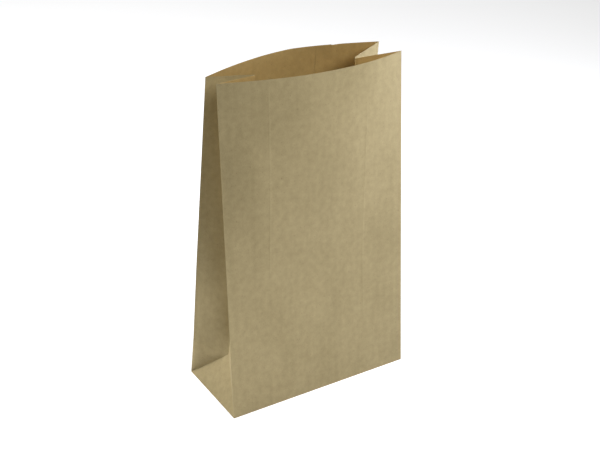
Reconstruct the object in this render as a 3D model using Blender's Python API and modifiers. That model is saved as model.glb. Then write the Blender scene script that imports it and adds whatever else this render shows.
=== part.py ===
"""Brown paper lunch bag: one folded and glued sheet of kraft paper, standing open and empty.

The bag stands on z = 0 with +Z up. The front panel faces -Y and the gussets face -X and +X.
The origin is the middle of the base. All sizes are in metres.

The sheet is laid out in paper coordinates. A panel point is (across, up): across runs from the
panel's left edge, up runs from the bottom fold. A gusset point is (in, up): in runs from the long
edge to the gusset's middle crease. Each piece of paper is placed in space by its own function, the
pieces share their borders, and one Solidify gives the whole sheet its thickness.
"""

import math

import bmesh
import bpy
from mathutils import Vector
from mathutils.geometry import delaunay_2d_cdt

# The flat bag
PANEL_WIDTH = 0.150
GUSSET_WIDTH = 0.070
BAG_HEIGHT = 0.260
PAPER = 0.00012
BOTTOM_LAP = 0.016
SEAM_LAP = 0.012
SEAM_OFFSET = 0.032

# How it stands open: each long edge leans inward by this much at the rim
FRONT_LEFT_LEAN = 0.0231
FRONT_RIGHT_LEAN = 0.0070
BACK_LEFT_LEAN = 0.0312
BACK_RIGHT_LEAN = 0.0344

# A bowed panel draws its two edges together and swells outward at the rim. The swell is highest at
# its peak, given from the panel's middle. A fullness of 2 is a parabola, and less is straighter.
FRONT_LEFT_DRAW_IN = 0.0053
FRONT_RIGHT_DRAW_IN = 0.0067
BACK_LEFT_DRAW_IN = 0.0055
BACK_RIGHT_DRAW_IN = 0.0060
FRONT_BOW = 0.0134
BACK_BOW = 0.0142
FRONT_PEAK = -0.001
BACK_PEAK = 0.0054
FRONT_LEFT_FULLNESS = 1.9
FRONT_RIGHT_FULLNESS = 2.15
BACK_LEFT_FULLNESS = 1.85
BACK_RIGHT_FULLNESS = 1.3

# A panel swells between two heights. Below them the square bottom still holds it flat.
FRONT_FLAT_TO = 0.095
FRONT_BOWED_FROM = BAG_HEIGHT
BACK_FLAT_TO = 0.0
BACK_BOWED_FROM = BAG_HEIGHT

# How much less deep the gussets' soft middle creases lie at the rim than sharp ones would
CREASE_EASE = 0.001

# Marks that flat storage leaves: the fold above the bottom, and the gussets pressed through
STORAGE_SET = 0.0009
STORAGE_FADE = 0.070
PRESS_SET = 0.0003
PRESS_HALF_WIDTH = 0.0025

# Width of the slope that stands for the cut edge or fold of one ply on another
PLY_STEP = 0.0003

# Facets, and the sharpest turn that is still shaded as one smooth bend
SMOOTH_BEND = math.radians(8)
CORNER_STEPS = 5
MIDDLE_STEPS = 14
WALL_ROWS = 16
LEAST_COLUMN = 0.003

KRAFT = (0.42, 0.33, 0.20, 1.0)
KRAFT_ROUGHNESS = 0.85

MERGE = 0.000001
TOUCHING = 10 * MERGE
HALF_WIDTH = PANEL_WIDTH / 2
HALF_GUSSET = GUSSET_WIDTH / 2
FLAP_LENGTH = HALF_GUSSET + BOTTOM_LAP / 2
MOST_PLIES = 5
LEFT = -1
RIGHT = 1
FRONT = -1
BACK = 1

LEAN = {
    (FRONT, LEFT): FRONT_LEFT_LEAN,
    (FRONT, RIGHT): FRONT_RIGHT_LEAN,
    (BACK, LEFT): BACK_LEFT_LEAN,
    (BACK, RIGHT): BACK_RIGHT_LEAN,
}
DRAW_IN = {
    (FRONT, LEFT): FRONT_LEFT_DRAW_IN,
    (FRONT, RIGHT): FRONT_RIGHT_DRAW_IN,
    (BACK, LEFT): BACK_LEFT_DRAW_IN,
    (BACK, RIGHT): BACK_RIGHT_DRAW_IN,
}
BOW = {FRONT: FRONT_BOW, BACK: BACK_BOW}
PEAK = {FRONT: FRONT_PEAK, BACK: BACK_PEAK}
FULLNESS = {
    (FRONT, LEFT): FRONT_LEFT_FULLNESS,
    (FRONT, RIGHT): FRONT_RIGHT_FULLNESS,
    (BACK, LEFT): BACK_LEFT_FULLNESS,
    (BACK, RIGHT): BACK_RIGHT_FULLNESS,
}
SWELL = {
    FRONT: (FRONT_FLAT_TO, FRONT_BOWED_FROM),
    BACK: (BACK_FLAT_TO, BACK_BOWED_FROM),
}


def clear_scene():
    for item in list(bpy.data.objects):
        bpy.data.objects.remove(item, do_unlink=True)


def make_collection(name):
    collection = bpy.data.collections.new(name)
    bpy.context.scene.collection.children.link(collection)
    return collection


def kraft_material():
    material = bpy.data.materials.new("kraft_paper")
    material.use_nodes = True
    shader = material.node_tree.nodes["Principled BSDF"]
    shader.inputs["Base Color"].default_value = KRAFT
    shader.inputs["Roughness"].default_value = KRAFT_ROUGHNESS
    shader.inputs["Metallic"].default_value = 0.0
    return material


def spread(start, end, steps):
    """Evenly spaced values from start to end, both included."""
    return [start + (end - start) * i / steps for i in range(steps + 1)]


def with_lines(values, lines, crowd):
    """The sorted values with some exact lines added, less the values that crowd a line."""
    kept = [v for v in values if all(abs(v - line) > crowd for line in lines)]
    return sorted(kept + lines)


def tent(distance, half_width):
    """1 on a line, falling to 0 at half_width on either side of it."""
    return max(0.0, 1.0 - abs(distance) / half_width)


# Corners and creases in space


def bottom_corner(face, side):
    return Vector((side * HALF_WIDTH, face * HALF_GUSSET, 0.0))


def raised(foot, shift):
    """The top of a straight line of paper as long as the bag is high, moved sideways by shift."""
    rise = math.sqrt(BAG_HEIGHT ** 2 - shift.length_squared)
    return foot + shift + Vector((0.0, 0.0, rise))


def rim_corner(face, side):
    shift = Vector((-side * DRAW_IN[face, side], -face * LEAN[face, side], 0.0))
    return raised(bottom_corner(face, side), shift)


def edge_direction(face, side):
    return (rim_corner(face, side) - bottom_corner(face, side)) / BAG_HEIGHT


def bottom_middle(side):
    return Vector((side * HALF_WIDTH, 0.0, 0.0))


def gusset_apex(side):
    """Top of the bottom triangle. The more the edges lean in, the further it folds inward."""
    lean = (LEAN[FRONT, side] + LEAN[BACK, side]) / 2
    tilt = math.asin(lean / BAG_HEIGHT)
    height = HALF_GUSSET * math.tan(math.pi / 4 - tilt / 2)
    inward = math.sqrt(HALF_GUSSET ** 2 - height ** 2)
    return Vector((side * (HALF_WIDTH - inward), 0.0, height))


def gusset_mouth(side):
    """The gusset's middle crease at the rim, half a gusset away from both long edges.

    The crease leans in further than the edges do, so the rim dips from its corners to the crease.
    """
    front = rim_corner(FRONT, side)
    back = rim_corner(BACK, side)
    half_gap = (back - front) / 2
    depth = math.sqrt(HALF_GUSSET ** 2 - half_gap.length_squared) - CREASE_EASE
    inward = Vector((-side * half_gap.y, side * half_gap.x, 0.0)).normalized()
    place = (front + back) / 2 + inward * depth
    apex = gusset_apex(side)
    run = (place - apex).to_2d().length
    place.z = apex.z + math.sqrt((BAG_HEIGHT - HALF_GUSSET) ** 2 - run ** 2)
    return place


def storage_set(up):
    """How far the fold that flat storage left above the bottom is pushed inward."""
    if up <= HALF_GUSSET:
        return STORAGE_SET * up / HALF_GUSSET
    return STORAGE_SET * tent(up - HALF_GUSSET, STORAGE_FADE)


# Panels


def seam_edges():
    """The free edge of the seam's inner ply and of its outer ply, from the panel's left edge."""
    middle = HALF_WIDTH + SEAM_OFFSET
    return middle - SEAM_LAP / 2, middle + SEAM_LAP / 2


def press_mark(across, up):
    """Outward set of the front panel where the folded gussets pressed through it."""
    from_edge = min(across, PANEL_WIDTH - across)
    if up < HALF_GUSSET:
        mark = (from_edge - up) / math.sqrt(2)
    else:
        mark = from_edge - HALF_GUSSET
    return PRESS_SET * tent(mark, PRESS_HALF_WIDTH)


def seam_step(across):
    """The outer ply ends here, so the face beyond it lies one ply deeper and rises to the edge."""
    outer_end = seam_edges()[1]
    if across <= outer_end:
        return 0.0
    return PAPER * (PANEL_WIDTH - across) / (PANEL_WIDTH - outer_end)


def rim_bow(face, across):
    """How far the rim swells out of the straight line between its two corners."""
    peak = HALF_WIDTH + PEAK[face]
    side = LEFT if across < peak else RIGHT
    reach = peak if side == LEFT else PANEL_WIDTH - peak
    return BOW[face] * (1 - (abs(across - peak) / reach) ** FULLNESS[face, side])


def swell(face, up):
    """Share of the rim's bow that a panel has at a height."""
    start, end = SWELL[face]
    climbed = min(max((up - start) / (end - start), 0.0), 1.0)
    return climbed ** 2 * (3 - 2 * climbed)


def panel_point(face, across, up):
    share = across / PANEL_WIDTH
    foot = bottom_corner(face, LEFT).lerp(bottom_corner(face, RIGHT), share)
    top = rim_corner(face, LEFT).lerp(rim_corner(face, RIGHT), share)
    shift = top - foot
    shift.z = 0.0
    lean = shift.y
    bow = face * rim_bow(face, across)
    shift.y += bow
    point = foot.lerp(raised(foot, shift), up / BAG_HEIGHT)
    point.y = foot.y + lean * up / BAG_HEIGHT + bow * swell(face, up)
    if face == FRONT:
        point.y -= press_mark(across, up) if 0 < up else 0.0
    else:
        point.y -= storage_set(up) + seam_step(across)
    return point


def panel_plies(face, across, up):
    inner_end, outer_end = seam_edges()
    in_seam = inner_end < across <= outer_end
    return 2 if face == BACK and up > 0 and in_seam else 1


# Gussets


def gusset_point(face, side, inward, up):
    """A point on one half of a gusset. The paper below the 45 degree fold is the bottom triangle."""
    corner = bottom_corner(face, side)
    apex = gusset_apex(side)
    share = inward / HALF_GUSSET
    if up < inward:
        middle = bottom_middle(side)
        return corner + (middle - corner) * share + (apex - middle) * up / HALF_GUSSET
    edge = edge_direction(face, side)
    if up <= HALF_GUSSET:
        point = corner + edge * (up - inward) + (apex - corner) * share
    else:
        climbed = (up - HALF_GUSSET) / (BAG_HEIGHT - HALF_GUSSET)
        crease = apex.lerp(gusset_mouth(side), climbed)
        point = (corner + edge * up).lerp(crease, share)
    if face == BACK:
        point.y -= storage_set(up - inward) if up < HALF_GUSSET else storage_set(up) * (1 - share)
    return point


# Block bottom


def inside_ply(point, outline, grow):
    """Whether a point of the base lies in a convex outline given as half planes."""
    return all(normal.dot(point) <= limit + grow for normal, limit in outline)


def end_flap(side):
    """A gusset's end, folded in first. It is the ply that the bag's contents lie on."""
    reach = HALF_WIDTH - FLAP_LENGTH
    return [(Vector((-side, 0.0)), -reach)]


def long_flap(face):
    """A panel's end, folded in over the gussets' ends. Its sides are 45 degree folds."""
    diagonal = math.sqrt(0.5)
    side_limit = (HALF_WIDTH - HALF_GUSSET) * diagonal
    across = [(Vector((s * diagonal, -face * diagonal)), side_limit) for s in (LEFT, RIGHT)]
    return across + [(Vector((0.0, -face)), FLAP_LENGTH - HALF_GUSSET)]


def ply_outlines():
    """Every flap outline of the block bottom, as half planes."""
    return [end_flap(LEFT), end_flap(RIGHT), long_flap(FRONT), long_flap(BACK)]


def bottom_stack(point):
    """Plies above the table before the paper starts, and plies of paper, at a point of the base."""
    within = TOUCHING - PLY_STEP / 2
    at_end = inside_ply(point, end_flap(LEFT), within) or inside_ply(point, end_flap(RIGHT), within)
    front = inside_ply(point, long_flap(FRONT), within)
    back = inside_ply(point, long_flap(BACK), within)
    corner_fold = 1 if at_end else 0
    plies = corner_fold + (1 + corner_fold) * (int(front) + int(back))
    if front:
        below = 0
    elif back:
        below = 1
    else:
        below = 2
    return below, max(plies, 1)


def outline_polygon(outline, grow):
    """The corners of a flap outline moved outward by grow, clipped to the base rectangle."""
    inset = PLY_STEP
    across = HALF_WIDTH - inset
    deep = HALF_GUSSET - inset
    corners = [Vector(c) for c in ((-across, -deep), (across, -deep), (across, deep), (-across, deep))]
    for normal, limit in outline:
        bound = limit + grow
        clipped = []
        for here, there in zip(corners, corners[1:] + corners[:1]):
            here_over = normal.dot(here) - bound
            there_over = normal.dot(there) - bound
            if here_over <= 0:
                clipped.append(here)
            if here_over * there_over < 0:
                clipped.append(here.lerp(there, here_over / (here_over - there_over)))
        corners = clipped
    return corners


def bottom_mesh(border):
    """Flat triangles for the base, with an edge along both sides of every ply step."""
    points = [Vector((p.x, p.y)) for p in border]
    edges = [(i, (i + 1) % len(border)) for i in range(len(border))]
    polygons = [outline_polygon([], 0.0)]
    for outline in ply_outlines():
        for grow in (-PLY_STEP / 2, PLY_STEP / 2):
            polygons.append(outline_polygon(outline, grow))
    for polygon in polygons:
        first = len(points)
        points += polygon
        edges += [(first + i, first + (i + 1) % len(polygon)) for i in range(len(polygon))]
    result = delaunay_2d_cdt(points, edges, [], 1, MERGE)
    return result[0], result[2]


# The sheet


class Sheet:
    """An open surface in one bmesh. Each vertex carries how many plies thick the paper is there."""

    def __init__(self):
        self.mesh = bmesh.new()
        self.plies = self.mesh.verts.layers.float.new("plies")

    def vertex(self, point, plies):
        made = self.mesh.verts.new(point)
        made[self.plies] = plies
        return made

    def face(self, corners):
        self.mesh.faces.new(corners)

    def grid(self, columns, rows, place, thickness, flip, split):
        """A field of quads over paper coordinates. Cells that split() names are cut corner to corner."""
        made = [[self.vertex(place(c, r), thickness(c, r)) for c in columns] for r in rows]
        for j in range(len(rows) - 1):
            for i in range(len(columns) - 1):
                low = [made[j][i], made[j][i + 1]]
                high = [made[j + 1][i + 1], made[j + 1][i]]
                cut = split(columns[i], columns[i + 1], rows[j], rows[j + 1])
                if cut == "rising":
                    cells = [[low[0], low[1], high[0]], [low[0], high[0], high[1]]]
                elif cut == "falling":
                    cells = [[low[0], low[1], high[1]], [low[1], high[0], high[1]]]
                else:
                    cells = [low + high]
                for cell in cells:
                    self.face(cell[::-1] if flip else cell)
        return made[0]


def near(a, b):
    return abs(a - b) < MERGE


def fold_cut(left, right, low, high):
    """The cells that a 45 degree fold crosses, at a panel's two lower corners or in a gusset."""
    if near(left, low) and near(right, high):
        return "rising"
    if near(PANEL_WIDTH - right, low) and near(PANEL_WIDTH - left, high):
        return "falling"
    return None


def paper_rows():
    lower = spread(0.0, HALF_GUSSET, CORNER_STEPS)
    upper = spread(HALF_GUSSET, BAG_HEIGHT, WALL_ROWS)
    return lower + upper[1:]


def panel_columns(face):
    corner = spread(0.0, HALF_GUSSET, CORNER_STEPS)
    middle = spread(HALF_GUSSET, PANEL_WIDTH - HALF_GUSSET, MIDDLE_STEPS)[1:-1]
    columns = corner + middle + [PANEL_WIDTH - c for c in reversed(corner)]
    if face == FRONT:
        press = [HALF_GUSSET + s * PRESS_HALF_WIDTH for s in (-1, 1)]
        return sorted(columns + press + [PANEL_WIDTH - p for p in press])
    steps = [edge + s * PLY_STEP / 2 for edge in seam_edges() for s in (-1, 1)]
    return with_lines(columns, steps, LEAST_COLUMN)


def build_sheet():
    sheet = Sheet()
    rows = paper_rows()
    for face in (FRONT, BACK):
        sheet.grid(
            panel_columns(face),
            rows,
            lambda across, up: panel_point(face, across, up),
            lambda across, up: panel_plies(face, across, up),
            face == BACK,
            fold_cut,
        )
        for side in (LEFT, RIGHT):
            sheet.grid(
                spread(0.0, HALF_GUSSET, CORNER_STEPS),
                rows,
                lambda inward, up: gusset_point(face, side, inward, up),
                lambda inward, up: 1,
                face * side > 0,
                fold_cut,
            )
    border = [panel_point(FRONT, c, 0.0) for c in panel_columns(FRONT)]
    inward = spread(0.0, HALF_GUSSET, CORNER_STEPS)
    border += [gusset_point(FRONT, RIGHT, g, 0.0) for g in inward[1:]]
    border += [gusset_point(BACK, RIGHT, g, 0.0) for g in reversed(inward[:-1])]
    border += [panel_point(BACK, c, 0.0) for c in reversed(panel_columns(BACK))][1:]
    border += [gusset_point(BACK, LEFT, g, 0.0) for g in inward[1:]]
    border += [gusset_point(FRONT, LEFT, g, 0.0) for g in reversed(inward[1:-1])]
    points, faces = bottom_mesh(border)
    on_border = {(round(p.x, 6), round(p.y, 6)) for p in border}
    made = []
    for point in points:
        if (round(point.x, 6), round(point.y, 6)) in on_border:
            made.append(sheet.vertex((point.x, point.y, 0.0), 1))
        else:
            below, plies = bottom_stack(point)
            made.append(sheet.vertex((point.x, point.y, below * PAPER), plies))
    for corners in faces:
        sheet.face([made[i] for i in reversed(corners)])
    bmesh.ops.remove_doubles(sheet.mesh, verts=sheet.mesh.verts, dist=MERGE)
    return sheet


def paper_bag(collection):
    sheet = build_sheet()
    plies = [vertex[sheet.plies] for vertex in sheet.mesh.verts]
    mesh = bpy.data.meshes.new("paper_bag")
    sheet.mesh.to_mesh(mesh)
    sheet.mesh.free()
    bag = bpy.data.objects.new("paper_bag", mesh)
    collection.objects.link(bag)
    mesh.materials.append(kraft_material())
    mesh.shade_smooth()
    mesh.set_sharp_from_angle(angle=SMOOTH_BEND)
    weights = bag.vertex_groups.new(name="plies")
    for index, count in enumerate(plies):
        weights.add([index], count / MOST_PLIES, "REPLACE")
    solidify = bag.modifiers.new("paper", "SOLIDIFY")
    solidify.thickness = MOST_PLIES * PAPER
    solidify.offset = -1
    solidify.vertex_group = weights.name
    solidify.use_even_offset = True
    solidify.use_quality_normals = True
    return bag


clear_scene()
bag_collection = make_collection("brown_paper_lunch_bag")
paper_bag(bag_collection)
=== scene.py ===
"""Looks of a brown paper lunch bag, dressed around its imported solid.

The bag is one folded and glued sheet of kraft paper. Its mesh repeats the folding of the solid at a
finer step, with the two plies of the back seam apart, pressed lines, soft bulges and cockle. All sizes
are in metres in the solid's own frame: the bag stands on z = 0 and its front panel faces -Y.

Paper coordinates: a panel point is (across, up), measured from the panel's left edge and from the
bottom fold. A gusset point is (in, up), with in measured from the long edge to the middle crease.
"""

import math

import bmesh
import bpy
from mathutils import Matrix, Vector, noise
from mathutils.geometry import delaunay_2d_cdt


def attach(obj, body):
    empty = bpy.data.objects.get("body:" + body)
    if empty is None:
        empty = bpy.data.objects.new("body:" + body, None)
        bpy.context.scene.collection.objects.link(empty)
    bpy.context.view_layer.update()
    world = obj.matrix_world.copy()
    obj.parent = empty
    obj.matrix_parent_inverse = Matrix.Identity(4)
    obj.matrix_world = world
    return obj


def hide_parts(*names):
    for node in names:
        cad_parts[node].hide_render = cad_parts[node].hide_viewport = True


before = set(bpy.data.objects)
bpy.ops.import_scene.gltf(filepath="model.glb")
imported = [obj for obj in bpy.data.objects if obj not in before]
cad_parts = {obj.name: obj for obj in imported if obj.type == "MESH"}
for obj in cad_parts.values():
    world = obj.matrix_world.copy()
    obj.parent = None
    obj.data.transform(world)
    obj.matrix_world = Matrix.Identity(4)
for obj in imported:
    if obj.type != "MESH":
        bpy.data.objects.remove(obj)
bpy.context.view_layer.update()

# The flat bag, as in the solid
PANEL_WIDTH = 0.150
GUSSET_WIDTH = 0.070
BAG_HEIGHT = 0.260
PAPER = 0.00012
BOTTOM_LAP = 0.016
SEAM_LAP = 0.012
SEAM_OFFSET = 0.032

HALF_WIDTH = PANEL_WIDTH / 2
HALF_GUSSET = GUSSET_WIDTH / 2
FLAP_LENGTH = HALF_GUSSET + BOTTOM_LAP / 2
LEFT = -1
RIGHT = 1
FRONT = -1
BACK = 1

# How it stands open, as in the solid but for small changes at the back right corner and the creases:
# how far the mouth's corners lean and draw in, and how far, where and how fully the rims bow
LEAN = {(FRONT, LEFT): 0.0231, (FRONT, RIGHT): 0.0070, (BACK, LEFT): 0.0312, (BACK, RIGHT): 0.0355}
DRAW_IN = {(FRONT, LEFT): 0.0053, (FRONT, RIGHT): 0.0067, (BACK, LEFT): 0.0055, (BACK, RIGHT): 0.0070}
BOW = {FRONT: 0.0134, BACK: 0.0142}
PEAK = {FRONT: -0.001, BACK: 0.0054}
FULLNESS = {(FRONT, LEFT): 1.9, (FRONT, RIGHT): 2.15, (BACK, LEFT): 1.85, (BACK, RIGHT): 1.3}
SWELL = {FRONT: (0.095, BAG_HEIGHT), BACK: (0.0, BAG_HEIGHT)}
CREASE_EASE = {LEFT: 0.0006, RIGHT: 0.0026}

# The gussets' middle creases are sharp up to a height and rounded above it
CREASE_ROUNDING = 0.002
CREASE_SHARP_TO = 0.100

# Marks of flat storage: how far the bottom's fold is pushed in and how high that fades out, and the
# lines where the gussets pressed through the front, with their width, shift, heights and fading ends
STORAGE_SET = 0.0009
STORAGE_FADE = 0.070
PRESS_SET = 0.00010
PRESS_HALF_WIDTH = 0.0014
PRESS_OFFSET = 0.007
PRESS_REACH = {LEFT: (0.110, 0.258), RIGHT: (0.058, 0.228)}
PRESS_FADE = 0.012

# The seam: the glue between its plies, the height over which it starts above the bottom fold, and how
# its inner ply stands off at the rim
GLUE = 0.00003
LAP_START = 0.0025
FLARE = 0.0010
FLARE_HEIGHT = 0.012
FLARE_WIDTH = 0.020

# Soft mounds of the front panel: outward height, centre and reach, in paper coordinates
FRONT_MOUNDS = (
    (0.00260, (0.058, 0.155), (0.056, 0.062)),
    (0.00180, (0.022, 0.187), (0.022, 0.040)),
    (0.00045, (0.056, 0.030), (0.012, 0.045)),
    (0.00050, (0.091, 0.028), (0.014, 0.042)),
    (0.00035, (0.119, 0.022), (0.012, 0.036)),
)

# Soft bulges of the gusset halves: outward height, centre and reach, in paper coordinates, and how
# far beside a fold they are held down
GUSSET_MOUNDS = {
    (FRONT, LEFT): ((0.0010, (0.0090, 0.085), (0.0110, 0.034)),),
    (BACK, LEFT): (
        (0.0009, (0.0110, 0.112), (0.0140, 0.034)),
        (0.0024, (0.0200, 0.068), (0.0190, 0.034)),
    ),
    (FRONT, RIGHT): ((0.0010, (0.0100, 0.080), (0.0130, 0.040)),),
    (BACK, RIGHT): ((0.0012, (0.0100, 0.095), (0.0130, 0.045)),),
}
MOUND_EDGE = 0.006

# The facet that flat storage left at the foot of the left gusset's back half: its top line, and how
# steeply it rises from that line, from the 45 degree fold and from the long edge
FACET_TOP = 0.0325
FACET_RISE = (0.40, 0.60, 0.60)

# Cockle: the broad and the fine waves of paper that has taken up damp, as height and as wave lengths
# across and up, and how far beside a fold they are held down
BROAD_COCKLE = 0.00026
FINE_COCKLE = 0.00005
BROAD_WAVE = (0.042, 0.075)
FINE_WAVE = (0.011, 0.019)
FOLD_HOLD = 0.008
PANEL_SEED = {FRONT: -3, BACK: 3}
GUSSET_SEED = {(FRONT, LEFT): 7, (FRONT, RIGHT): 9, (BACK, LEFT): 11, (BACK, RIGHT): 13}
FINE_SEED_STEP = 0.5

# Mesh steps, and the rounding and shading of the folds
CORNER_STEPS = 28
MIDDLE_STEPS = 30
WALL_ROWS = 84
FINE_STEP = 0.0005
PLY_STEP = 0.0003
MERGE = 0.000001
TOUCHING = 10 * MERGE
MOST_PLIES = 5
FOLD_RADIUS = 0.0002
FOLD_SEGMENTS = 2
FOLD_ANGLE = math.radians(22)
LARGE_FACE_WEIGHT = 90
SMALL_FACE = 0.000001

# The camera stands at the front left and looks down on the bag
CAMERA_PLACE = Vector((-0.44785, -0.74970, 0.61428))
CAMERA_YAW = math.radians(-31.004)
CAMERA_PITCH = math.radians(-29.201)
CAMERA_ROLL = math.radians(-0.120)
CAMERA_LENS = 81.10
SENSOR_WIDTH = 36.0

FLOOR_SIZE = 8.0
BAG_MIDDLE = Vector((0.0, 0.0, 0.13))


def spread(start, end, steps):
    """Evenly spaced values from start to end, both included."""
    return [start + (end - start) * i / steps for i in range(steps + 1)]


def smooth(value):
    """An S-shaped rise from 0 at 0 to 1 at 1."""
    value = min(max(value, 0.0), 1.0)
    return value * value * (3 - 2 * value)


def ridge(distance, half_width):
    """1 on a line, falling smoothly to 0 at half_width on either side of it."""
    return 1 - smooth(abs(distance) / half_width)


# Corners and creases in space


def bottom_corner(face, side):
    return Vector((side * HALF_WIDTH, face * HALF_GUSSET, 0.0))


def raised(foot, shift):
    """The top of a straight line of paper as long as the bag is high, moved sideways by shift."""
    rise = math.sqrt(BAG_HEIGHT ** 2 - shift.length_squared)
    return foot + shift + Vector((0.0, 0.0, rise))


def rim_corner(face, side):
    shift = Vector((-side * DRAW_IN[face, side], -face * LEAN[face, side], 0.0))
    return raised(bottom_corner(face, side), shift)


def bottom_middle(side):
    return Vector((side * HALF_WIDTH, 0.0, 0.0))


def gusset_apex(side):
    """Top of the bottom triangle."""
    lean = (LEAN[FRONT, side] + LEAN[BACK, side]) / 2
    tilt = math.asin(lean / BAG_HEIGHT)
    height = HALF_GUSSET * math.tan(math.pi / 4 - tilt / 2)
    inward = math.sqrt(HALF_GUSSET ** 2 - height ** 2)
    return Vector((side * (HALF_WIDTH - inward), 0.0, height))


def into_gusset(side):
    """The level direction from a gusset's opening to its crease, as it is at the rim."""
    gap = rim_corner(BACK, side) - rim_corner(FRONT, side)
    return Vector((-side * gap.y, side * gap.x, 0.0)).normalized()


def gusset_mouth(side):
    """The gusset's middle crease at the rim, half a gusset away from both long edges.

    The crease leans in further than the edges do, so the rim dips from its corners to the crease.
    """
    front = rim_corner(FRONT, side)
    back = rim_corner(BACK, side)
    half_gap = (back - front) / 2
    depth = math.sqrt(HALF_GUSSET ** 2 - half_gap.length_squared) - CREASE_EASE[side]
    place = (front + back) / 2 + into_gusset(side) * depth
    apex = gusset_apex(side)
    run = (place - apex).to_2d().length
    place.z = apex.z + math.sqrt((BAG_HEIGHT - HALF_GUSSET) ** 2 - run ** 2)
    return place


def storage_set(up):
    """How far the fold that flat storage left above the bottom is pushed inward."""
    if up <= HALF_GUSSET:
        return STORAGE_SET * up / HALF_GUSSET
    return STORAGE_SET * max(0.0, 1 - (up - HALF_GUSSET) / STORAGE_FADE)


# Panels


def seam_edges():
    """The free edge of the seam's inner ply and of its outer ply, from the panel's left edge."""
    middle = HALF_WIDTH + SEAM_OFFSET
    return middle - SEAM_LAP / 2, middle + SEAM_LAP / 2


def rim_bow(face, across):
    """How far the rim swells out of the straight line between its two corners."""
    peak = HALF_WIDTH + PEAK[face]
    side = LEFT if across < peak else RIGHT
    reach = peak if side == LEFT else PANEL_WIDTH - peak
    return BOW[face] * (1 - (abs(across - peak) / reach) ** FULLNESS[face, side])


def swell(face, up):
    """Share of the rim's bow that a panel has at a height."""
    start, end = SWELL[face]
    return smooth((up - start) / (end - start))


def panel_point(face, across, up):
    share = across / PANEL_WIDTH
    foot = bottom_corner(face, LEFT).lerp(bottom_corner(face, RIGHT), share)
    top = rim_corner(face, LEFT).lerp(rim_corner(face, RIGHT), share)
    shift = top - foot
    shift.z = 0.0
    lean = shift.y
    bow = face * rim_bow(face, across)
    shift.y += bow
    point = foot.lerp(raised(foot, shift), up / BAG_HEIGHT)
    point.y = foot.y + lean * up / BAG_HEIGHT + bow * swell(face, up)
    if face == BACK:
        point.y -= storage_set(up)
    return point


def inner_ply_point(across, up):
    """The back panel from the seam's inner edge on, one ply deeper, rising again to the long edge."""
    start, outer_end = seam_edges()
    rising = min(1.0, (PANEL_WIDTH - across) / (PANEL_WIDTH - outer_end))
    loose = smooth(1 - abs(2 * (across - start) / FLARE_WIDTH - 1))
    point = panel_point(BACK, across, up)
    point.y -= (PAPER + GLUE) * rising * smooth(up / LAP_START)
    point.y -= FLARE * loose * smooth((up - BAG_HEIGHT + FLARE_HEIGHT) / FLARE_HEIGHT)
    return point


def press_line(across, up):
    """1 on the lines where the folded gussets pressed through the front panel, 0 away from them."""
    side = LEFT if across < HALF_WIDTH else RIGHT
    from_edge = min(across, PANEL_WIDTH - across)
    low, high = PRESS_REACH[side]
    upright = ridge(from_edge - HALF_GUSSET, PRESS_HALF_WIDTH)
    upright *= smooth((up - low) / PRESS_FADE + 0.5) * smooth((high - up) / PRESS_FADE + 0.5)
    diagonal = ridge((up - from_edge - PRESS_OFFSET) / math.sqrt(2), PRESS_HALF_WIDTH)
    diagonal *= smooth((HALF_GUSSET - from_edge) / PRESS_FADE + 0.5)
    return max(upright, diagonal)


def mound(across, up, centre, reach):
    """1 at the centre of a soft mound, close to 0 at its reach."""
    sideways = (across - centre[0]) / reach[0]
    upward = (up - centre[1]) / reach[1]
    return math.exp(-2 * (sideways ** 2 + upward ** 2))


def cockle(across, up, seed, from_fold):
    """Small waves of the paper, held flat next to the folds."""
    broad = noise.noise(Vector((across / BROAD_WAVE[0], up / BROAD_WAVE[1], seed)))
    fine = noise.noise(Vector((across / FINE_WAVE[0], up / FINE_WAVE[1], seed + FINE_SEED_STEP)))
    return (BROAD_COCKLE * broad + FINE_COCKLE * fine) * smooth(from_fold / FOLD_HOLD)


def panel_relief(face, across, up):
    """Outward height of the mounds, pressed lines and cockle of a panel."""
    from_fold = min(across, PANEL_WIDTH - across, up)
    height = cockle(across, up, PANEL_SEED[face], from_fold)
    if face == FRONT:
        held = smooth(from_fold / FOLD_HOLD)
        height += sum(h * mound(across, up, centre, reach) for h, centre, reach in FRONT_MOUNDS) * held
        height += PRESS_SET * press_line(across, up) * held
    return height


def panel_wear_and_highlight(face, across, up):
    """How far rubbing and pressing have paled the paper, from 0 to 1. The paling along the folds, the
    rim and the pressed lines is partly a painted highlight where they catch the light.
    """
    from_edge = min(across, PANEL_WIDTH - across, BAG_HEIGHT - up)
    wear_and_highlight = ridge(from_edge, FINE_STEP)
    if face == FRONT:
        wear_and_highlight = max(wear_and_highlight, press_line(across, up) / 2)
    return wear_and_highlight


# Gussets


def gusset_point(face, side, inward, up):
    """A point on one half of a gusset. The paper below the 45 degree fold is the bottom triangle."""
    corner = bottom_corner(face, side)
    apex = gusset_apex(side)
    share = inward / HALF_GUSSET
    if up < inward:
        middle = bottom_middle(side)
        return corner + (middle - corner) * share + (apex - middle) * up / HALF_GUSSET
    edge = (rim_corner(face, side) - corner) / BAG_HEIGHT
    if up <= HALF_GUSSET:
        point = corner + edge * (up - inward) + (apex - corner) * share
    else:
        climbed = (up - HALF_GUSSET) / (BAG_HEIGHT - HALF_GUSSET)
        rounding = CREASE_ROUNDING * smooth((up - HALF_GUSSET) / (CREASE_SHARP_TO - HALF_GUSSET))
        crease = apex.lerp(gusset_mouth(side), climbed) + into_gusset(side) * rounding
        point = (corner + edge * up).lerp(crease, share)
        leg = crease - (corner + edge * up)
        slope = leg.dot(into_gusset(side)) / HALF_GUSSET
        bend = 2 * rounding / slope
        near_crease = max(0.0, 1 - (HALF_GUSSET - inward) / bend) if bend else 0.0
        point -= into_gusset(side) * rounding * near_crease ** 2
    if face == BACK:
        point.y -= storage_set(up - inward) if up < HALF_GUSSET else storage_set(up) * (1 - share)
    return point


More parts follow.
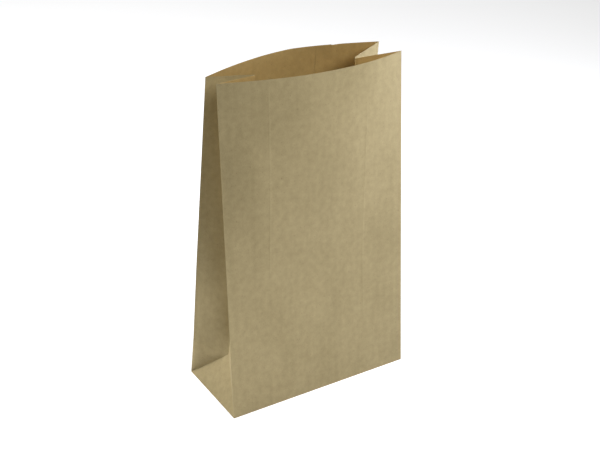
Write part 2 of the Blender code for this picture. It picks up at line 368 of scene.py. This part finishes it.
def storage_facet(inward, up):
    """Outward height of the storage facet, which ends in a crease on each of its three sides."""
    away = (FACET_TOP - up, (up - inward) / math.sqrt(2), inward)
    rises = [distance * slope for distance, slope in zip(away, FACET_RISE)]
    if min(rises) <= 0:
        return 0.0
    return 1 / sum(1 / rise for rise in rises)


def gusset_relief(face, side, inward, up):
    """Outward height of the bulges, storage facet and cockle of a gusset half."""
    from_fold = min(inward, HALF_GUSSET - inward, abs(up - inward) / math.sqrt(2), up)
    height = cockle(inward, up, GUSSET_SEED[face, side], from_fold)
    held = smooth(from_fold / MOUND_EDGE)
    height += sum(h * mound(inward, up, c, r) for h, c, r in GUSSET_MOUNDS[face, side]) * held
    if face == BACK and side == LEFT:
        height += storage_facet(inward, up)
    return height


# Paler paper beside the gusset folds and the rim: partly wear, partly a painted highlight where the
# folds catch the light.
def gusset_wear_and_highlight(inward, up):
    from_fold = min(inward, HALF_GUSSET - inward, BAG_HEIGHT - up, abs(up - inward))
    return ridge(from_fold, FINE_STEP)


# Block bottom


def inside_ply(point, outline, grow):
    """Whether a point of the base lies in a convex outline given as half planes."""
    return all(normal.dot(point) <= limit + grow for normal, limit in outline)


def end_flap(side):
    """A gusset's end, folded in first. It is the ply that the bag's contents lie on."""
    return [(Vector((-side, 0.0)), FLAP_LENGTH - HALF_WIDTH)]


def long_flap(face):
    """A panel's end, folded in over the gussets' ends. Its sides are 45 degree folds."""
    diagonal = math.sqrt(0.5)
    side_limit = (HALF_WIDTH - HALF_GUSSET) * diagonal
    across = [(Vector((s * diagonal, -face * diagonal)), side_limit) for s in (LEFT, RIGHT)]
    return across + [(Vector((0.0, -face)), FLAP_LENGTH - HALF_GUSSET)]


def bottom_stack(point):
    """Plies above the table before the paper starts, and plies of paper, at a point of the base."""
    within = TOUCHING - PLY_STEP / 2
    at_end = inside_ply(point, end_flap(LEFT), within) or inside_ply(point, end_flap(RIGHT), within)
    front = inside_ply(point, long_flap(FRONT), within)
    back = inside_ply(point, long_flap(BACK), within)
    corner_fold = 1 if at_end else 0
    plies = corner_fold + (1 + corner_fold) * (int(front) + int(back))
    if front:
        below = 0
    elif back:
        below = 1
    else:
        below = 2
    return below, max(plies, 1)


def outline_polygon(outline, grow):
    """The corners of a flap outline moved outward by grow, clipped to the base rectangle."""
    across = HALF_WIDTH - PLY_STEP
    deep = HALF_GUSSET - PLY_STEP
    corners = [Vector(c) for c in ((-across, -deep), (across, -deep), (across, deep), (-across, deep))]
    for normal, limit in outline:
        bound = limit + grow
        clipped = []
        for here, there in zip(corners, corners[1:] + corners[:1]):
            here_over = normal.dot(here) - bound
            there_over = normal.dot(there) - bound
            if here_over <= 0:
                clipped.append(here)
            if here_over * there_over < 0:
                clipped.append(here.lerp(there, here_over / (here_over - there_over)))
        corners = clipped
    return corners


def bottom_mesh(border):
    """Flat triangles for the base, with an edge along both sides of every ply step."""
    points = [Vector((p.x, p.y)) for p in border]
    edges = [(i, (i + 1) % len(border)) for i in range(len(border))]
    polygons = [outline_polygon([], 0.0)]
    for outline in (end_flap(LEFT), end_flap(RIGHT), long_flap(FRONT), long_flap(BACK)):
        for grow in (-PLY_STEP / 2, PLY_STEP / 2):
            polygons.append(outline_polygon(outline, grow))
    for polygon in polygons:
        first = len(points)
        points += polygon
        edges += [(first + i, first + (i + 1) % len(polygon)) for i in range(len(polygon))]
    result = delaunay_2d_cdt(points, edges, [], 1, MERGE)
    return result[0], result[2]


# The sheet


class Sheet:
    """An open surface in one bmesh, with plies, relief and wear at each vertex and a flat layout. The
    wear layer also carries a painted highlight along the folds, the rim and the pressed lines.
    """

    def __init__(self):
        self.mesh = bmesh.new()
        layers = self.mesh.verts.layers.float
        for name in ("plies", "relief", "wear_and_highlight"):
            layers.new(name)
        self.plies = layers["plies"]
        self.relief = layers["relief"]
        self.wear_and_highlight = layers["wear_and_highlight"]
        self.layout = self.mesh.loops.layers.uv.new("sheet")

    def vertex(self, point, plies=1, relief=0.0, wear_and_highlight=0.0):
        made = self.mesh.verts.new(point)
        made[self.plies] = plies
        made[self.relief] = relief
        made[self.wear_and_highlight] = wear_and_highlight
        return made

    def face(self, corners, flat):
        made = self.mesh.faces.new(corners)
        for loop, place in zip(made.loops, flat):
            loop[self.layout].uv = place

    def grid(self, columns, rows, make, flat, flip, missing=None):
        """A field of cells over paper coordinates. Cells on a 45 degree fold are cut along it.

        make gives the vertex at a place, flat its place on the unfolded sheet, and missing the cells
        to leave out.
        """
        made = [[make(c, r) for c in columns] for r in rows]
        for j in range(len(rows) - 1):
            for i in range(len(columns) - 1):
                if missing and missing(columns[i], rows[j]):
                    continue
                keys = [(j, i), (j, i + 1), (j + 1, i + 1), (j + 1, i)]
                cut = fold_cut(columns[i], columns[i + 1], rows[j], rows[j + 1])
                if cut == "rising":
                    cells = [[keys[0], keys[1], keys[2]], [keys[0], keys[2], keys[3]]]
                elif cut == "falling":
                    cells = [[keys[0], keys[1], keys[3]], [keys[1], keys[2], keys[3]]]
                else:
                    cells = [keys]
                for cell in cells:
                    cell = cell[::-1] if flip else cell
                    corners = [made[row][column] for row, column in cell]
                    self.face(corners, [flat(columns[column], rows[row]) for row, column in cell])


def near(a, b):
    return abs(a - b) < MERGE


def fold_cut(left, right, low, high):
    """The cells that a 45 degree fold crosses, at a panel's two lower corners or in a gusset."""
    if near(left, low) and near(right, high):
        return "rising"
    if near(PANEL_WIDTH - right, low) and near(PANEL_WIDTH - left, high):
        return "falling"
    return None


def corner_lines():
    """Lines over half a gusset, with a fine first and last step beside the folds."""
    lines = spread(0.0, HALF_GUSSET, CORNER_STEPS)
    return sorted(lines + [FINE_STEP, HALF_GUSSET - FINE_STEP])


def paper_rows():
    upper = spread(HALF_GUSSET, BAG_HEIGHT, WALL_ROWS)[1:]
    return sorted(corner_lines() + upper + [HALF_GUSSET + FINE_STEP, BAG_HEIGHT - FINE_STEP])


def panel_columns():
    corner = corner_lines()
    inner = [HALF_GUSSET + step for step in (FINE_STEP, PRESS_HALF_WIDTH)]
    middle = spread(HALF_GUSSET, PANEL_WIDTH - HALF_GUSSET, MIDDLE_STEPS)[1:-1]
    mirrored = [PANEL_WIDTH - c for c in corner + inner]
    return sorted(corner + inner + middle + mirrored)


def outer_ply_columns():
    end = seam_edges()[1]
    return [c for c in panel_columns() if c < end - FINE_STEP] + [end]


def inner_ply_columns():
    start, end = seam_edges()
    beyond = [c for c in panel_columns() if c > end + FINE_STEP]
    lap = spread(start, end, round(SEAM_LAP / PRESS_HALF_WIDTH))
    return lap + beyond


def flat_panel(face, across, up):
    """A panel's place on the unfolded sheet. The back panel follows the right gusset."""
    if face == FRONT:
        return across, up
    return PANEL_WIDTH + GUSSET_WIDTH + PANEL_WIDTH - across, up


def flat_gusset(face, side, inward, up):
    """A gusset's place on the unfolded sheet, right of the front panel or right of the back one."""
    run = inward if face == side * FRONT else GUSSET_WIDTH - inward
    start = PANEL_WIDTH if side == RIGHT else 2 * PANEL_WIDTH + GUSSET_WIDTH
    return start + run, up


def add_walls(sheet):
    rows = paper_rows()

    def panel_vertex(face, place, across, up):
        return sheet.vertex(place, 1, panel_relief(face, across, up), panel_wear_and_highlight(face, across, up))

    def front(across, up):
        return panel_vertex(FRONT, panel_point(FRONT, across, up), across, up)

    def outer_ply(across, up):
        return panel_vertex(BACK, panel_point(BACK, across, up), across, up)

    def inner_ply(across, up):
        return panel_vertex(BACK, inner_ply_point(across, up), across, up)

    def flat_front(across, up):
        return flat_panel(FRONT, across, up)

    def flat_back(across, up):
        return flat_panel(BACK, across, up)

    def below_lap(across, up):
        return across < seam_edges()[1] - MERGE and up < LAP_START - MERGE

    sheet.grid(panel_columns(), rows, front, flat_front, False)
    sheet.grid(outer_ply_columns(), rows, outer_ply, flat_back, True)
    sheet.grid(inner_ply_columns(), rows, inner_ply, flat_back, True, below_lap)
    for face in (FRONT, BACK):
        for side in (LEFT, RIGHT):
            sheet.grid(
                corner_lines(),
                rows,
                lambda inward, up: sheet.vertex(
                    gusset_point(face, side, inward, up),
                    1,
                    gusset_relief(face, side, inward, up),
                    gusset_wear_and_highlight(inward, up),
                ),
                lambda inward, up: flat_gusset(face, side, inward, up),
                face * side > 0,
            )


def base_border():
    """The bottom fold all round, in the order front, right, back, left."""
    inward = corner_lines()
    outer_end = seam_edges()[1]
    back = outer_ply_columns() + [c for c in inner_ply_columns() if c > outer_end + MERGE]
    border = [panel_point(FRONT, c, 0.0) for c in panel_columns()]
    border += [gusset_point(FRONT, RIGHT, g, 0.0) for g in inward[1:]]
    border += [gusset_point(BACK, RIGHT, g, 0.0) for g in reversed(inward[:-1])]
    border += [panel_point(BACK, c, 0.0) for c in reversed(back)][1:]
    border += [gusset_point(BACK, LEFT, g, 0.0) for g in inward[1:]]
    border += [gusset_point(FRONT, LEFT, g, 0.0) for g in reversed(inward[1:-1])]
    return border


def add_base(sheet):
    border = base_border()
    points, faces = bottom_mesh(border)
    on_border = {(round(p.x, 6), round(p.y, 6)) for p in border}
    made = []
    for point in points:
        if (round(point.x, 6), round(point.y, 6)) in on_border:
            made.append(sheet.vertex((point.x, point.y, 0.0)))
        else:
            below, plies = bottom_stack(point)
            made.append(sheet.vertex((point.x, point.y, below * PAPER), plies))
    for corners in faces:
        flat = [(points[i].x + HALF_WIDTH, points[i].y - HALF_GUSSET) for i in corners]
        sheet.face([made[i] for i in reversed(corners)], flat[::-1])


def build_sheet():
    sheet = Sheet()
    add_walls(sheet)
    add_base(sheet)
    mesh = sheet.mesh
    bmesh.ops.remove_doubles(mesh, verts=mesh.verts, dist=MERGE)
    loose = [v for v in mesh.verts if not v.link_faces]
    bmesh.ops.delete(mesh, geom=loose, context="VERTS")
    mesh.normal_update()
    shifts = [v.normal * v[sheet.relief] for v in mesh.verts]
    for vertex, shift in zip(mesh.verts, shifts):
        vertex.co += shift
    return sheet


def paper_bag(outside, inside):
    sheet = build_sheet()
    plies = [vertex[sheet.plies] for vertex in sheet.mesh.verts]
    mesh = bpy.data.meshes.new("paper_bag_sheet")
    sheet.mesh.to_mesh(mesh)
    sheet.mesh.free()
    bag = bpy.data.objects.new("paper_bag_sheet", mesh)
    bpy.context.scene.collection.objects.link(bag)
    mesh.materials.append(outside)
    mesh.materials.append(inside)
    mesh.shade_smooth()
    weights = bag.vertex_groups.new(name="plies")
    for index, count in enumerate(plies):
        weights.add([index], count / MOST_PLIES, "REPLACE")
    bevel = bag.modifiers.new("folds", "BEVEL")
    bevel.limit_method = "ANGLE"
    bevel.angle_limit = FOLD_ANGLE
    bevel.width = FOLD_RADIUS
    bevel.segments = FOLD_SEGMENTS
    solidify = bag.modifiers.new("paper", "SOLIDIFY")
    solidify.thickness = MOST_PLIES * PAPER
    solidify.offset = -1
    solidify.vertex_group = weights.name
    solidify.use_even_offset = True
    solidify.use_quality_normals = True
    # The inner shell takes the second material, whose warmer colour is painted bounce light
    solidify.material_offset = 1
    normals = bag.modifiers.new("normals", "WEIGHTED_NORMAL")
    normals.keep_sharp = True
    normals.weight = LARGE_FACE_WEIGHT
    normals.thresh = SMALL_FACE
    return bag


# Kraft paper

WHITE = (1.0, 1.0, 1.0, 1.0)
KRAFT_LIGHT = (0.466, 0.377, 0.203, 1.0)
KRAFT_DARK = (0.350, 0.280, 0.143, 1.0)
# Paler kraft for worn folds, rim and pressed lines, which also serves as their painted highlight
KRAFT_WORN_AND_HIGHLIGHT = (0.480, 0.400, 0.230, 1.0)
KRAFT_FLECK = (0.200, 0.140, 0.070, 1.0)
WORN_AND_HIGHLIGHT_SHARE = 0.10

# The bag's inner side is painted warmer and more orange than the outer side: painted bounce light,
# standing in for the light that bounces between the walls inside and shines through the paper
INNER_LIGHT_WITH_BOUNCE = (0.540, 0.380, 0.150, 1.0)
INNER_DARK_WITH_BOUNCE = (0.420, 0.285, 0.106, 1.0)

# Noises over the flat sheet: stretch across and up, cells per metre, and detail
CLOUD = ((1.0, 0.7, 1.0), 30.0, 3.0)
MOTTLE = ((1.0, 0.8, 1.0), 240.0, 4.0)
STREAK = ((1.0, 0.03, 1.0), 330.0, 2.0)
FIBRE = ((1.0, 0.25, 1.0), 2600.0, 3.0)
FLECK = ((1.0, 0.6, 1.0), 900.0, 1.0)

# How much each noise counts in the paper's tone and in its height
TONE_CLOUD = 1.0
TONE_MOTTLE = 1.2
TONE_STREAK = 0.4
TONE_FIBRE = 1.0
HEIGHT_MOTTLE = 1.0
HEIGHT_FIBRE = 0.6

FLECK_RANGE = {"From Min": 0.68, "From Max": 0.80, "To Max": 0.5}
ROUGHNESS_RANGE = {"To Min": 0.72, "To Max": 0.86}
GRAIN = {"Strength": 0.25, "Distance": 0.0002}
SHEEN = 0.05
SHEEN_ROUGHNESS = 0.5
SPECULAR_LEVEL = 0.12


class Nodes:
    """Short forms for building a material's node tree."""

    def __init__(self, material):
        self.tree = material.node_tree

    def add(self, kind, inputs=None, **settings):
        made = self.tree.nodes.new(kind)
        for name, value in settings.items():
            setattr(made, name, value)
        for name, value in (inputs or {}).items():
            if isinstance(value, bpy.types.NodeSocket):
                self.tree.links.new(value, made.inputs[name])
            else:
                made.inputs[name].default_value = value
        return made

    def pattern(self, place, stretch, scale, detail):
        """A noise over the flat sheet, in cells per metre. Stretch below 1 draws it out."""
        mapped = self.add("ShaderNodeMapping", {"Vector": place, "Scale": stretch})
        inputs = {"Vector": mapped.outputs[0], "Scale": scale, "Detail": detail}
        return self.add("ShaderNodeTexNoise", inputs).outputs["Fac"]

    def ranged(self, value, limits):
        return self.add("ShaderNodeMapRange", {"Value": value, **limits}).outputs[0]

    def calculate(self, operation, *values):
        return self.add("ShaderNodeMath", dict(enumerate(values)), operation=operation).outputs[0]

    def weigh(self, terms):
        """The weighted sum of noises, each counted from its middle value, around 0.5."""
        total = 0.5
        for value, weight in terms:
            part = self.calculate("MULTIPLY_ADD", value, weight, -weight / 2)
            total = self.calculate("ADD", part, total)
        return total

    def mix(self, factor, first, second):
        return self.add("ShaderNodeMix", {0: factor, 6: first, 7: second}, data_type="RGBA").outputs[2]


def kraft_material(name, light, dark):
    material = bpy.data.materials.new(name)
    material.use_nodes = True
    nodes = Nodes(material)
    sheet = nodes.add("ShaderNodeUVMap", uv_map="sheet").outputs[0]
    cloud = nodes.pattern(sheet, *CLOUD)
    mottle = nodes.pattern(sheet, *MOTTLE)
    streak = nodes.pattern(sheet, *STREAK)
    fibre = nodes.pattern(sheet, *FIBRE)
    fleck = nodes.pattern(sheet, *FLECK)

    terms = ((cloud, TONE_CLOUD), (mottle, TONE_MOTTLE), (streak, TONE_STREAK), (fibre, TONE_FIBRE))
    colour = nodes.mix(nodes.weigh(terms), dark, light)
    colour = nodes.mix(nodes.ranged(fleck, FLECK_RANGE), colour, KRAFT_FLECK)
    # Paling along the folds, the rim and the pressed lines: partly wear, partly a painted highlight.
    wear_and_highlight = nodes.add("ShaderNodeAttribute", attribute_name="wear_and_highlight").outputs["Fac"]
    colour = nodes.mix(nodes.calculate("MULTIPLY", wear_and_highlight, WORN_AND_HIGHLIGHT_SHARE), colour, KRAFT_WORN_AND_HIGHLIGHT)
    height = nodes.weigh([(fibre, HEIGHT_FIBRE), (mottle, HEIGHT_MOTTLE)])
    bump = nodes.add("ShaderNodeBump", {"Height": height, **GRAIN})

    shader = material.node_tree.nodes["Principled BSDF"]
    links = material.node_tree.links
    links.new(colour, shader.inputs["Base Color"])
    links.new(nodes.ranged(mottle, ROUGHNESS_RANGE), shader.inputs["Roughness"])
    links.new(bump.outputs[0], shader.inputs["Normal"])
    shader.inputs["Specular IOR Level"].default_value = SPECULAR_LEVEL
    shader.inputs["Sheen Weight"].default_value = SHEEN
    shader.inputs["Sheen Roughness"].default_value = SHEEN_ROUGHNESS
    return material


# Surroundings


def white_unless_lit(tree, plain, strength):
    """Adds white light that only the camera, reflections and clear things see."""
    nodes = tree.nodes
    path = nodes.new("ShaderNodeLightPath")
    seen = path.outputs["Is Camera Ray"]
    for name in ("Is Glossy Ray", "Is Transmission Ray"):
        either = nodes.new("ShaderNodeMath")
        either.operation = "MAXIMUM"
        tree.links.new(seen, either.inputs[0])
        tree.links.new(path.outputs[name], either.inputs[1])
        seen = either.outputs[0]
    scaled = nodes.new("ShaderNodeMath")
    scaled.operation = "MULTIPLY"
    tree.links.new(seen, scaled.inputs[0])
    scaled.inputs[1].default_value = strength
    tree.links.new(scaled.outputs[0], plain)


FLOOR_COLOUR = (0.90, 0.90, 0.90, 1.0)
FLOOR_ROUGHNESS = 0.9
FLOOR_LIFT = 0.55
WORLD_LEVEL = 0.02


def add_floor():
    half = FLOOR_SIZE / 2
    mesh = bpy.data.meshes.new("floor")
    corners = [(-half, -half, 0.0), (half, -half, 0.0), (half, half, 0.0), (-half, half, 0.0)]
    mesh.from_pydata(corners, [], [(0, 1, 2, 3)])
    floor = bpy.data.objects.new("floor", mesh)
    bpy.context.scene.collection.objects.link(floor)
    material = bpy.data.materials.new("floor")
    material.use_nodes = True
    shader = material.node_tree.nodes["Principled BSDF"]
    shader.inputs["Base Color"].default_value = FLOOR_COLOUR
    shader.inputs["Roughness"].default_value = FLOOR_ROUGHNESS
    shader.inputs["Specular IOR Level"].default_value = 0.0
    shader.inputs["Emission Color"].default_value = WHITE
    white_unless_lit(material.node_tree, shader.inputs["Emission Strength"], FLOOR_LIFT)
    mesh.materials.append(material)


def add_world():
    world = bpy.data.worlds.new("studio")
    world.use_nodes = True
    bpy.context.scene.world = world
    background = world.node_tree.nodes["Background"]
    background.inputs["Color"].default_value = WHITE
    lift = world.node_tree.nodes.new("ShaderNodeMath")
    lift.operation = "ADD"
    lift.inputs[1].default_value = WORLD_LEVEL
    world.node_tree.links.new(lift.outputs[0], background.inputs["Strength"])
    white_unless_lit(world.node_tree, lift.inputs[0], 1.0 - WORLD_LEVEL)


def add_lamp(name, azimuth, elevation, distance, size, power, colour):
    """A soft square lamp aimed at the bag. Azimuth 0 is in front of it and 90 is on its right."""
    turn = math.radians(azimuth)
    rise = math.radians(elevation)
    out = Vector((math.sin(turn) * math.cos(rise), -math.cos(turn) * math.cos(rise), math.sin(rise)))
    data = bpy.data.lights.new(name, "AREA")
    data.shape = "SQUARE"
    data.size = size
    data.energy = power
    data.color = colour
    lamp = bpy.data.objects.new(name, data)
    lamp.location = BAG_MIDDLE + out * distance
    lamp.rotation_euler = out.to_track_quat("Z", "Y").to_euler()
    bpy.context.scene.collection.objects.link(lamp)


# Name, azimuth, elevation, distance, size, power and colour
LAMPS = (
    ("key", 75.0, 4.0, 0.60, 0.3, 3.00, (0.97, 1.02, 1.16)),
    ("front", 20.0, 45.0, 1.0, 0.5, 6.3, (1.0, 1.0, 1.0)),
    ("left", -130.0, 35.0, 1.0, 0.5, 9.8, (1.0, 1.0, 1.0)),
)


def add_camera():
    data = bpy.data.cameras.new("camera")
    data.sensor_width = SENSOR_WIDTH
    data.lens = CAMERA_LENS
    camera = bpy.data.objects.new("camera", data)
    turn = Matrix.Rotation(CAMERA_YAW, 4, "Z") @ Matrix.Rotation(CAMERA_PITCH, 4, "X")
    level = Matrix.Rotation(CAMERA_ROLL, 4, "Y") @ Matrix.Rotation(math.pi / 2, 4, "X")
    camera.matrix_world = Matrix.Translation(CAMERA_PLACE) @ turn @ level
    bpy.context.scene.collection.objects.link(camera)
    bpy.context.scene.camera = camera


# The inside material's warmer, more orange colour is painted bounce light
bag = paper_bag(
    kraft_material("kraft_outside", KRAFT_LIGHT, KRAFT_DARK),
    kraft_material("kraft_inside_painted_bounce", INNER_LIGHT_WITH_BOUNCE, INNER_DARK_WITH_BOUNCE),
)
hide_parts("paper_bag")
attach(bag, "root")
add_floor()
add_world()
for lamp in LAMPS:
    add_lamp(*lamp)
add_camera()
bpy.context.scene.view_settings.view_transform = "Standard"
